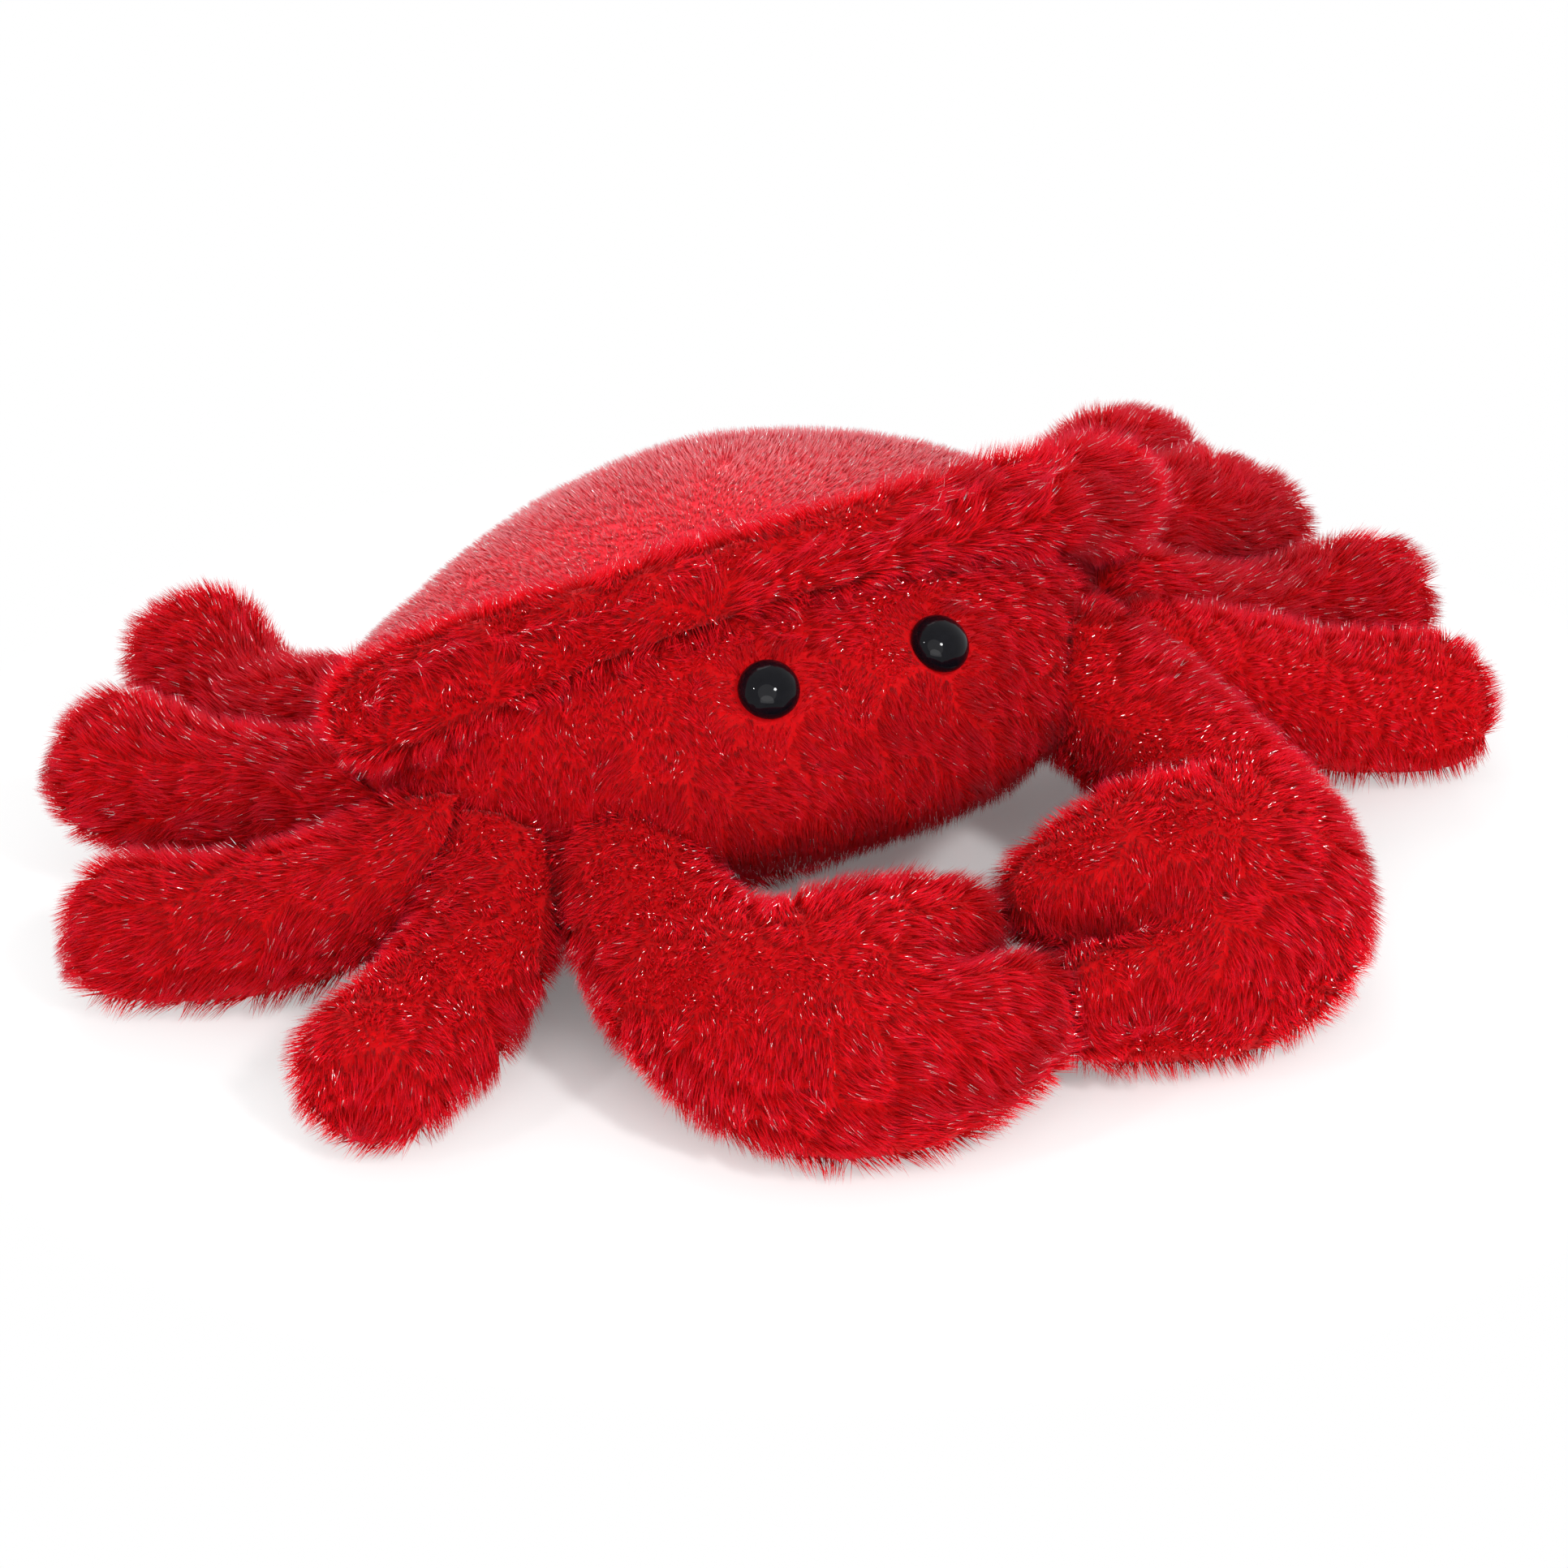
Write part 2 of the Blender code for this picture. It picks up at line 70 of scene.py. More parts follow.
def view_axes(azimuth, elevation):
    """The directions to the camera's right, up its picture and back from what it looks at."""
    right = Vector((math.cos(azimuth), math.sin(azimuth), 0.0))
    back = Vector(
        (
            math.sin(azimuth) * math.cos(elevation),
            -math.cos(azimuth) * math.cos(elevation),
            math.sin(elevation),
        )
    )
    return right, back.cross(right), back


view_right, view_up, view_back = view_axes(VIEW_AZIMUTH, VIEW_ELEVATION)
bpy.ops.object.select_all(action="DESELECT")
bpy.ops.object.camera_add(location=VIEW_POINT + view_back * VIEW_DISTANCE)
camera = bpy.context.object
camera.name = "view_camera"
camera.rotation_euler = view_back.to_track_quat("Z", "Y").to_euler()
camera.data.sensor_width = 36.0
camera.data.lens = 36.0 * LENS_PER_SENSOR
bpy.context.scene.camera = camera
print("lens in mm:", round(camera.data.lens, 1))

# %% [markdown]
# ## Backing cloth
# Real plush is a knitted cloth with the pile standing on it, sewn inside out and stuffed. The
# cloth could be drawn in by a cage, but each solid already has the right outline, so a copy of it
# is remeshed evenly, drawn in by half a millimetre, and made a little lumpy, as stuffing makes it.
# The lower face is stuffed fuller than its solid, so that the chin catches the light. A cloth
# simulation would add creases finer than the pile, which nobody would see.

# %% Sew a backing cloth inside a solid
CLOTH_STEP = 0.0022
LUMP_SIZE = 0.022
LUMP_HEIGHT = 0.0016
FOLD_SIZE = 0.008
FOLD_HEIGHT = 0.0009
SHORT_PILE_LUMP_SHARE = 0.8
WELD_DISTANCE = 0.0001
LONG_PILE_DEPTH = 0.0005
SHORT_PILE_DEPTH = 0.0004
SEAM_WIDTH = 0.006
SEAM_GAP = 0.0006
EYE_RADIUS = 0.0046
EYE_POCKET_RADIUS = EYE_RADIUS + 0.0004
EYE_POCKET_DEPTH = 0.020


def select_only(piece):
    bpy.ops.object.select_all(action="DESELECT")
    piece.select_set(True)
    bpy.context.view_layer.objects.active = piece


def finish_with(piece, kind, **settings):
    """Adds a modifier to the piece, sets it and applies it."""
    select_only(piece)
    modifier = piece.modifiers.new(kind.title(), kind)
    for setting, value in settings.items():
        setattr(modifier, setting, value)
    bpy.ops.object.modifier_apply(modifier=modifier.name)


def centre_line(solid):
    """The middle and the long direction of a turned solid, with the direction facing forward."""
    points = np.array([v.co for v in solid.data.vertices])
    middle = points.mean(axis=0)
    _, _, directions = np.linalg.svd(points - middle, full_matrices=False)
    axis = Vector(directions[0])
    return Vector(middle), -axis if axis.y > 0 else axis


eye_lines = {name: centre_line(solids[name]) for name in ("eye_right", "eye_left")}


def distance_to_line(points, line):
    """How far each point is from the line, square to it."""
    middle, axis = (np.array(v) for v in line)
    offset = points - middle
    return np.linalg.norm(offset - np.outer(offset @ axis, axis), axis=1)


def close_eye_pockets(cloth):
    """Takes the walls of the eyes' pockets out of the torso and closes it over them."""
    select_only(cloth)
    mesh = cloth.data
    for line in eye_lines.values():
        centres = np.array([face.center for face in mesh.polygons])
        inside = distance_to_line(centres, line) < EYE_POCKET_RADIUS
        front = np.array([(Vector(c) - line[0]).dot(line[1]) > -EYE_POCKET_DEPTH for c in centres])
        for face, chosen in zip(mesh.polygons, inside & front):
            face.select = bool(chosen)
        bpy.ops.object.mode_set(mode="EDIT")
        bpy.ops.mesh.select_mode(type="FACE")
        bpy.ops.mesh.delete(type="FACE")
        bpy.ops.mesh.select_mode(type="EDGE")
        bpy.ops.mesh.select_all(action="DESELECT")
        bpy.ops.mesh.select_non_manifold()
        bpy.ops.mesh.edge_face_add()
        bpy.ops.object.mode_set(mode="OBJECT")


lumps = bpy.data.textures.new("stuffing_lumps", "CLOUDS")
lumps.noise_scale = LUMP_SIZE
folds = bpy.data.textures.new("pile_folds", "CLOUDS")
folds.noise_scale = FOLD_SIZE


def solid_tree(names):
    """A search tree over the solids of these names."""
    corners = []
    faces = []
    for name in names:
        mesh = solids[name].data
        start = len(corners)
        corners += [v.co.copy() for v in mesh.vertices]
        faces += [tuple(start + i for i in face.vertices) for face in mesh.polygons]
    return BVHTree.FromPolygons(corners, faces)


def distances_to(tree, points):
    """How far each point is from the nearest face of the tree."""
    return np.array([tree.find_nearest(Vector(p))[3] for p in points])


soft_nodes = [name for name in solids if not name.startswith("eye")]


def others_tree(node):
    """A search tree over all soft solids but this one."""
    return solid_tree([name for name in soft_nodes if name != node])


def loosen_at_seams(cloth, node):
    """Marks how far each corner is from the pieces that it is sewn to, as a vertex group."""
    gaps = distances_to(others_tree(node), [v.co for v in cloth.data.vertices])
    group = cloth.vertex_groups.new(name="loose")
    for i, gap in enumerate(gaps):
        group.add([i], min(1.0, max(0.0, (gap - SEAM_GAP) / SEAM_WIDTH)), "REPLACE")
    return group.name


# How far the lower face stands out from its solid, by height. It is stuffed fuller than the packed
# It is stuffed fuller than its solid: it comes down steeply to the chin and turns under there.
CHIN_HEIGHTS = (0.0090, 0.0140, 0.0185, 0.0230, 0.0275, 0.0330, 0.0375, 0.0410)
CHIN_SHIFTS = (-0.0015, -0.0050, -0.0038, 0.0052, 0.0072, 0.0054, 0.0022, 0.0)
CHIN_HALF_WIDTH = 0.046
CHIN_DEPTH_SHARE = 0.6
CHIN_FADE = 0.020


def fill_chin(cloth):
    """Moves the corners of the lower face forward, most in the middle of its width."""
    low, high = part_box("body")
    middle = (low.x + high.x) / 2
    split = low.y + (high.y - low.y) * CHIN_DEPTH_SHARE
    for corner in cloth.data.vertices:
        across = min(1.0, abs(corner.co.x - middle) / CHIN_HALF_WIDTH)
        forward = min(1.0, max(0.0, (split - corner.co.y) / CHIN_FADE))
        shift = np.interp(corner.co.z, CHIN_HEIGHTS, CHIN_SHIFTS)
        corner.co.y -= shift * forward * (1 - across**2) ** 0.5
    cloth.data.update()


def sew_backing(node, pile_depth, lump_height):
    """A backing cloth inside the node's solid, drawn in a little and made lumpy."""
    cloth = bpy.data.objects.new(node + "_cloth", solids[node].data.copy())
    bpy.context.scene.collection.objects.link(cloth)
    cloth.data.materials.clear()
    select_only(cloth)
    bpy.ops.object.mode_set(mode="EDIT")
    bpy.ops.mesh.select_all(action="SELECT")
    bpy.ops.mesh.remove_doubles(threshold=WELD_DISTANCE)
    bpy.ops.mesh.select_all(action="DESELECT")
    bpy.ops.object.mode_set(mode="OBJECT")
    if node == "body":
        close_eye_pockets(cloth)
    finish_with(cloth, "REMESH", mode="VOXEL", voxel_size=CLOTH_STEP)
    if node == "body":
        fill_chin(cloth)
    finish_with(cloth, "SMOOTH", factor=0.5, iterations=6)
    loose = loosen_at_seams(cloth, node)
    finish_with(cloth, "DISPLACE", strength=-pile_depth, mid_level=0.0, vertex_group=loose)
    for texture, height in ((lumps, lump_height), (folds, FOLD_HEIGHT * lump_height / LUMP_HEIGHT)):
        finish_with(
            cloth,
            "DISPLACE",
            strength=height,
            texture=texture,
            texture_coords="GLOBAL",
            vertex_group=loose,
        )
    finish_with(cloth, "SMOOTH", factor=0.5, iterations=2, vertex_group=loose)
    bpy.ops.object.shade_smooth()
    return cloth


cloths = {}
for node in soft_nodes:
    if node == "shell":
        cloths[node] = sew_backing(node, SHORT_PILE_DEPTH, SHORT_PILE_LUMP_SHARE * LUMP_HEIGHT)
    else:
        cloths[node] = sew_backing(node, LONG_PILE_DEPTH, LUMP_HEIGHT)
print("cloths:", len(cloths), "faces:", sum(len(c.data.polygons) for c in cloths.values()))

# %% [markdown]
# ## Which way the pile lies
# The pile of a sewn bag runs away from its seam: down the face from the brow, along each leg to
# its foot, and over the dome from its crown. A direction could be drawn by hand for every piece,
# but the seams already tell it. The way over the cloth from the seam is measured at each corner,
# and the pile lies along its slope.

# %% Measure the way from the seam
SEAM_REACH = 0.0030
LIE_SMOOTHING = 12
seam_partners = {"body": ("shell", "shell_rim"), "shell_rim": ("shell",), "shell": ()}


def read_cloth(cloth):
    """The cloth's corners, their normals, its triangles and its edges, as arrays."""
    mesh = cloth.data
    mesh.calc_loop_triangles()
    points = np.empty((len(mesh.vertices), 3), np.float32)
    mesh.vertices.foreach_get("co", points.ravel())
    normals = np.empty((len(mesh.vertices), 3), np.float32)
    mesh.vertices.foreach_get("normal", normals.ravel())
    triangles = np.empty((len(mesh.loop_triangles), 3), np.int32)
    mesh.loop_triangles.foreach_get("vertices", triangles.ravel())
    return points.astype(float), normals.astype(float), triangles


def way_from(seeds, points, links):
    """How far each corner is from the nearest seed, going over the cloth."""
    ways = np.full(len(points), np.inf)
    queue = [(0.0, int(i)) for i in np.flatnonzero(seeds)]
    for _, i in queue:
        ways[i] = 0.0
    heapq.heapify(queue)
    while queue:
        way, i = heapq.heappop(queue)
        if way > ways[i]:
            continue
        for j, length in links[i]:
            if way + length < ways[j]:
                ways[j] = way + length
                heapq.heappush(queue, (way + length, j))
    return ways


def links_of(cloth, points):
    """The neighbours of each corner, along the edges and across the faces, and how far they are."""
    links = [{} for _ in points]
    for face in cloth.data.polygons:
        corners = list(face.vertices)
        for a in corners:
            for b in corners:
                if a != b and b not in links[a]:
                    links[a][b] = float(np.linalg.norm(points[a] - points[b]))
    return [list(near.items()) for near in links]


def unit(vectors):
    """The vectors at a length of one."""
    return vectors / np.maximum(np.linalg.norm(vectors, axis=-1, keepdims=True), 1e-9)


def slope_of(ways, points, normals, links, rounds):
    """The direction over the cloth in which the way grows, smoothed a few times."""
    slope = np.zeros_like(points)
    for i, near in enumerate(links):
        for j, length in near:
            if math.isfinite(ways[j]) and math.isfinite(ways[i]):
                slope[i] += (points[j] - points[i]) * (ways[j] - ways[i]) / length**2
    index = [np.array([j for j, _ in near], int) for near in links]
    for _ in range(rounds):
        slope = unit(slope)
        slope = np.array([slope[i] + slope[near].sum(axis=0) for i, near in enumerate(index)])
    slope -= normals * (slope * normals).sum(axis=1, keepdims=True)
    return unit(slope)


def lie_from_seam(node, points, normals, links):
    """The direction away from the piece's seam, or from its crown where it has no seam partner."""
    partners = seam_partners.get(node, ("body",))
    if partners:
        seeds = distances_to(solid_tree(partners), points) < SEAM_REACH
    else:
        seeds = points[:, 2] > points[:, 2].max() - SEAM_REACH / 2
    return slope_of(way_from(seeds, points, links), points, normals, links, LIE_SMOOTHING)


# %% [markdown]
# ## The pile
# A real pile has millions of fibres. A hair system would show them, but it is no mesh that another
# program can use. Here a tuft stands for a few fibres: a closed sliver of four triangles, with a
# three-sided root and a point for its tip. Neighbouring tips are drawn together into locks, as on
# a plush that has been handled, and tufts that reach the floor lie flat on it. The pile is left
# out at the seams, thinned where the crab lies on it, and parted and trimmed round the eyes.

# %% Grow tufts on a cloth
TUFT_SEED = 11
FLOOR_CLEARANCE = 0.0003
LONG_PILE = {
    "density": 3.4e6,
    "length": 0.0045,
    "width": 0.00017,
    "lean": 45.0,
    "lock_area": 1.7e-5,
    "lock_pull": 0.34,
    "swirl": 0.40,
    "glint_share": 0.045,
}
SHORT_PILE = {
    "density": 4.8e6,
    "length": 0.0021,
    "width": 0.00016,
    "lean": 26.0,
    "lock_area": 0.4e-5,
    "lock_pull": 0.15,
    "swirl": 0.40,
    "glint_share": 0.060,
}
pile_share = {"body": 0.85, "shell_rim": 1.20}
SLIVER_FACES = ((0, 1, 3), (1, 2, 3), (2, 0, 3), (0, 2, 1))
WIDE_SWIRL = 70.0
FINE_SWIRL = 190.0
FINE_SWIRL_SHARE = 0.8
BARE_SEAM = 0.0003
SEAM_FADE = 0.0004
SEAM_PILE_SHARE = 0.88
SEAM_TRIM_WIDTH = 0.008
UNDERSIDE_TOP = 0.010
UNDERSIDE_SHARE = 0.35
EYE_RING_WIDTH = 0.007
EYE_RING_DEPTH = 0.012
EYE_PARTING = 1.5
EYE_TRIM = 0.62
EYE_CLEARANCE = 0.0002
RUN_JITTER = 0.16
LEAN_JITTER = 8.0
# A glint tuft, whose tip is painted near-white as a highlight, is wider than other tufts. Below the
# top of the chin the glints are twice as many.
GLINT_WIDENING = 1.40
CHIN_TOP = 0.029
CHIN_GLINT_FACTOR = 0.5


def swirl_angles(points, scale, strength):
    """A smooth turn of the pile's direction from place to place."""
    return np.array([noise.noise(Vector(p) * scale) for p in points]) * strength * math.pi


def turned_about(directions, normals, angles):
    """The directions turned about the normals by the angles."""
    side = np.cross(normals, directions)
    return directions * np.cos(angles)[:, None] + side * np.sin(angles)[:, None]


def scatter_roots(points, triangles, density, keep, rng):
    """Roots spread over the triangles, as the triangle and the shares of its corners for each."""
    a, b, c = (points[triangles[:, i]] for i in range(3))
    areas = np.linalg.norm(np.cross(b - a, c - a), axis=1) / 2
    wanted = areas * density * keep[triangles].mean(axis=1)
    counts = np.floor(wanted + rng.random(len(wanted))).astype(int)
    chosen = np.repeat(np.arange(len(triangles)), counts)
    first, second = rng.random((2, len(chosen)))
    flip = first + second > 1
    first[flip], second[flip] = 1 - first[flip], 1 - second[flip]
    shares = np.stack((1 - first - second, first, second), axis=1)
    return chosen, shares


def spread(values, triangles, chosen, shares):
    """Values at the cloth's corners, read at the roots."""
    corners = values[triangles[chosen]]
    return np.einsum("ij,ij...->i...", shares, corners)


def pull_into_locks(points, tips, lock_area, pull, density, rng):
    """Draws each tip towards the tip of the tuft in the middle of its lock."""
    count = max(1, int(len(points) / (density * lock_area)))
    centres = rng.choice(len(points), count, replace=False)
    tree = KDTree(count)
    for place, i in enumerate(centres):
        tree.insert(points[i], place)
    tree.balance()
    lock = np.array([tree.find(p)[1] for p in points])
    middle = centres[lock]
    reach = tips[middle] - tips
    return tips + reach * pull[:, None], lock


def tuft_mesh(name, roots, tips, width, normals, rng):
    """One closed sliver for each root and tip: a three-sided foot that is drawn to a point."""
    along = unit(tips - roots)
    side = unit(np.cross(along, normals))
    rise = np.cross(side, along)
    spin = rng.random(len(roots)) * math.tau
    rows = []
    for third in range(3):
        angle = spin + math.tau * third / 3
        out = side * np.cos(angle)[:, None] + rise * np.sin(angle)[:, None]
        rows.append(roots + out * width[:, None] / 2)
    corners = np.stack(rows + [tips], axis=1)
    corners[:, :, 2] = np.maximum(corners[:, :, 2], FLOOR_CLEARANCE)
    count = len(roots)
    faces = np.arange(count)[:, None, None] * 4 + np.array(SLIVER_FACES)[None]
    faces = faces.reshape(-1, 3)
    mesh = bpy.data.meshes.new(name)
    mesh.vertices.add(count * 4)
    mesh.vertices.foreach_set("co", corners.astype(np.float32).ravel())
    mesh.loops.add(faces.size)
    mesh.loops.foreach_set("vertex_index", faces.astype(np.int32).ravel())
    mesh.polygons.add(len(faces))
    mesh.polygons.foreach_set("loop_start", np.arange(0, faces.size, 3, dtype=np.int32))
    mesh.update(calc_edges=True)
    mesh.shade_smooth()
    write_values(mesh, "along", np.tile((0.0, 0.0, 0.0, 1.0), count))
    return mesh


def write_values(mesh, name, values):
    """Keeps one value for each corner of the mesh, for the materials to read."""
    layer = mesh.attributes.new(name, "FLOAT", "POINT")
    layer.data.foreach_set("value", np.asarray(values, np.float32))


def before_pocket(points, line):
    """Which points are near the front of the eye's line, at the face."""
    middle, axis = (np.array(v) for v in line)
    return (points - middle) @ axis > -EYE_RING_DEPTH


def part_round_eyes(points, lie, size):
    """Turns the pile away from each eye and trims it there."""
    for line in eye_lines.values():
        middle, axis = (np.array(v) for v in line)
        away = points - middle
        away -= np.outer(away @ axis, axis)
        gap = distance_to_line(points, line)
        near = np.clip(1 - (gap - EYE_RADIUS) / EYE_RING_WIDTH, 0.0, 1.0)
        near = near * before_pocket(points, line)
        lie = unit(lie * (1 - near)[:, None] + unit(away) * near[:, None] * EYE_PARTING)
        size = size * (1 - EYE_TRIM * near)
    return lie, size


def clear_of_eyes(roots):
    """Which roots are not under an eye."""
    clear = np.ones(len(roots), bool)
    for line in eye_lines.values():
        under_eye = distance_to_line(roots, line) < EYE_RADIUS + EYE_CLEARANCE
        clear &= ~(under_eye & before_pocket(roots, line))
    return clear


def pile_plan(node, pile, points, normals, links):
    """At each corner: which way the pile lies, the share of it that is kept, and its size."""
    to_others = distances_to(others_tree(node), points)
    lie = lie_from_seam(node, points, normals, links)
    lie = turned_about(lie, normals, swirl_angles(points, WIDE_SWIRL, pile["swirl"]))
    fine_swirl = pile["swirl"] * FINE_SWIRL_SHARE
    lie = turned_about(lie, normals, swirl_angles(points, FINE_SWIRL, fine_swirl))
    keep = np.clip((to_others - BARE_SEAM) / SEAM_FADE, 0.0, 1.0)
    under = (normals[:, 2] < -0.5) & (points[:, 2] < UNDERSIDE_TOP)
    keep = np.where(under, keep * UNDERSIDE_SHARE, keep)
    from_seam = np.clip(to_others / SEAM_TRIM_WIDTH, 0.0, 1.0)
    size = SEAM_PILE_SHARE + (1 - SEAM_PILE_SHARE) * from_seam
    size = size * pile_share.get(node, 1.0)
    if node == "body":
        lie, size = part_round_eyes(points, lie, size)
    return lie, keep, size


def grow_pile(node, pile, rng):
    """The pile of one piece, as a mesh of tufts that run away from its seam."""
    cloth = cloths[node]
    points, normals, triangles = read_cloth(cloth)
    lie, keep, size = pile_plan(node, pile, points, normals, links_of(cloth, points))
    chosen, shares = scatter_roots(points, triangles, pile["density"], keep, rng)
    roots, up, run = (spread(v, triangles, chosen, shares) for v in (points, normals, lie))
    up = unit(up)
    run = unit(run - up * (run * up).sum(axis=1, keepdims=True))
    scale = spread(size, triangles, chosen, shares)
    if node == "body":
        clear = clear_of_eyes(roots)
        roots, up, run, scale = (v[clear] for v in (roots, up, run, scale))
    count = len(roots)
    length = pile["length"] * scale * (0.80 + 0.35 * rng.random(count))
    run = turned_about(run, up, rng.normal(0.0, RUN_JITTER, count))
    lean = np.radians(pile["lean"] + rng.normal(0.0, LEAN_JITTER, count))
    direction = up * np.cos(lean)[:, None] + run * np.sin(lean)[:, None]
    tips = roots + direction * length[:, None]
    pull = pile["lock_pull"] * (0.5 + rng.random(count))
    tips, lock = pull_into_locks(roots, tips, pile["lock_area"], pull, pile["density"], rng)
    glint = rng.random(count)
    if node == "body":
        glint[roots[:, 2] < CHIN_TOP] *= CHIN_GLINT_FACTOR
    width = pile["width"] * (0.75 + 0.5 * rng.random(count))
    width[glint < pile["glint_share"]] *= GLINT_WIDENING
    mesh = tuft_mesh(node + "_pile", roots, tips, width, up, rng)
    lock_tone = rng.random(lock.max() + 1)[lock]
    tone = 0.6 * rng.random(count) + 0.4 * lock_tone
    write_values(mesh, "tone", np.repeat(tone, 4))
    write_values(mesh, "glint", np.repeat(glint, 4))
    pelt = bpy.data.objects.new(node + "_pile", mesh)
    bpy.context.scene.collection.objects.link(pelt)
    return pelt


pelts = {}
for place, node in enumerate(soft_nodes):
    rng = np.random.default_rng(TUFT_SEED + place)
    pelts[node] = grow_pile(node, SHORT_PILE if node == "shell" else LONG_PILE, rng)
    print(node, "pile triangles:", len(pelts[node].data.polygons))
print("pile in all:", sum(len(p.data.polygons) for p in pelts.values()))

# %% [markdown]
# ## Colour of the pile
# The pile's red is painted darker at the root, as shade where little light reaches, and paler at
# the tip, as a painted sheen where the fibre ends catch the light. The tips of some tufts are
# painted near-white as glints, and a mask in the group makes them mirror the light as metal does.
# Both piles share these effects, so they are one node group with its own values in each material.
# The sheen, which turns the pile pink where it is seen from the side, is a plain value of the
# shader.

# %% Mix the pile's tones in a node group
def new_material(name):
    """A material with its nodes, its links and its shader."""
    material = bpy.data.materials.new(name)
    material.use_nodes = True
    tree = material.node_tree
    return material, tree.nodes, tree.links, tree.nodes["Principled BSDF"]


def object_noise(nodes, links, scale):
    """A noise texture on the object's own coordinates."""
    place = nodes.new("ShaderNodeTexCoord")
    texture = nodes.new("ShaderNodeTexNoise")
    texture.inputs["Scale"].default_value = scale
    links.new(place.outputs["Object"], texture.inputs["Vector"])
    return texture


def combined(nodes, links, operation, first, second):
    """Two sockets put together by a math node. Returns its output."""
    both = nodes.new("ShaderNodeMath")
    both.operation = operation
    links.new(first, both.inputs[0])
    links.new(second, both.inputs[1])
    return both.outputs[0]


def add_group_socket(group, name, kind, direction, value=None):
    socket = group.interface.new_socket(name=name, in_out=direction, socket_type=kind)
    if value is not None:
        socket.default_value = value
    return socket


def mixed(nodes, links, blend, factor, first, second):
    """A colour mix whose inputs are sockets or plain values. Returns its output."""
    mix = nodes.new("ShaderNodeMix")
    mix.data_type = "RGBA"
    mix.blend_type = blend
    for socket, value in ((mix.inputs[0], factor), (mix.inputs[6], first), (mix.inputs[7], second)):
        if isinstance(value, bpy.types.NodeSocket):
            links.new(value, socket)
        else:
            socket.default_value = value
    return mix.outputs[2]


def ranged(nodes, links, value, low, high, new_low, new_high):
    """The value moved from one span of numbers to another. Returns the output."""
    span = nodes.new("ShaderNodeMapRange")
    for socket, number in zip(span.inputs[1:5], (low, high, new_low, new_high)):
        socket.default_value = number
    links.new(value, span.inputs[0])
    return span.outputs[0]


pile_tone = bpy.data.node_groups.new("pile_tone", "ShaderNodeTree")
# The Root colour is painted darker as shade deep in the pile, and the Tip colour paler as painted
# sheen.
add_group_socket(pile_tone, "Root", "NodeSocketColor", "INPUT", (0.20, 0.0, 0.0, 1.0))
add_group_socket(pile_tone, "Tip", "NodeSocketColor", "INPUT", (0.60, 0.0, 0.0, 1.0))
# The Glint colour is a highlight painted on the tips of chosen tufts.
add_group_socket(pile_tone, "Glint", "NodeSocketColor", "INPUT", (1.0, 1.0, 1.0, 1.0))
add_group_socket(pile_tone, "Glint share", "NodeSocketFloat", "INPUT", 0.02)
add_group_socket(pile_tone, "Colour", "NodeSocketColor", "OUTPUT")
add_group_socket(pile_tone, "Roughness", "NodeSocketFloat", "OUTPUT")
add_group_socket(pile_tone, "Glint mask", "NodeSocketFloat", "OUTPUT")


def fill_pile_tone(group):
    """Mixes the tones from root to tip, from tuft to tuft and from place to place."""
    nodes, links = group.nodes, group.links
    given = nodes.new("NodeGroupInput")
    made = nodes.new("NodeGroupOutput")
    along, tone, glint = (nodes.new("ShaderNodeAttribute") for _ in range(3))
    for node, name in ((along, "along"), (tone, "tone"), (glint, "glint")):
        node.attribute_name = name
    patches = object_noise(nodes, links, 60.0)
    root, tip = given.outputs["Root"], given.outputs["Tip"]
    # From root to tip the colour goes from painted shade to painted sheen.
    colour = mixed(nodes, links, "MIX", along.outputs["Fac"], root, tip)
    shade = ranged(nodes, links, tone.outputs["Fac"], 0.0, 1.0, 0.90, 1.06)
    colour = mixed(nodes, links, "MULTIPLY", 1.0, colour, shade)
    patch = ranged(nodes, links, patches.outputs["Fac"], 0.3, 0.7, 0.85, 1.12)
    colour = mixed(nodes, links, "MULTIPLY", 1.0, colour, patch)
    glint_share = given.outputs["Glint share"]
    chosen = combined(nodes, links, "LESS_THAN", glint.outputs["Fac"], glint_share)
    tip_part = ranged(nodes, links, along.outputs["Fac"], 0.66, 0.70, 0.0, 1.0)
    mask = combined(nodes, links, "MULTIPLY", chosen, tip_part)
    # Chosen tips are painted near-white as glints; the mask also makes them metallic, so they
    # mirror the light.
    colour = mixed(nodes, links, "MIX", mask, colour, given.outputs["Glint"])
    links.new(colour, made.inputs["Colour"])
    links.new(ranged(nodes, links, mask, 0.0, 1.0, 0.62, 0.22), made.inputs["Roughness"])
    links.new(mask, made.inputs["Glint mask"])


fill_pile_tone(pile_tone)


# The near-white painted on chosen tuft tips as glints.
PAINTED_GLINT_COLOUR = (1.0, 0.95, 0.95)
LONG_SHEEN_TINT = (1.0, 0.45, 0.50)
SHORT_SHEEN_TINT = (1.0, 0.60, 0.66)


def set_plush(shader, specular, sheen, sheen_roughness, sheen_tint):
    """The plain values of a fibre: its sheen, and the light that goes through it."""
    shader.inputs["Specular IOR Level"].default_value = specular
    shader.inputs["Sheen Weight"].default_value = sheen
    shader.inputs["Sheen Roughness"].default_value = sheen_roughness
    shader.inputs["Sheen Tint"].default_value = (*sheen_tint, 1.0)
    shader.inputs["Subsurface Weight"].default_value = 1.0
    shader.inputs["Subsurface Radius"].default_value = (1.0, 0.12, 0.12)
    shader.inputs["Subsurface Scale"].default_value = 0.001


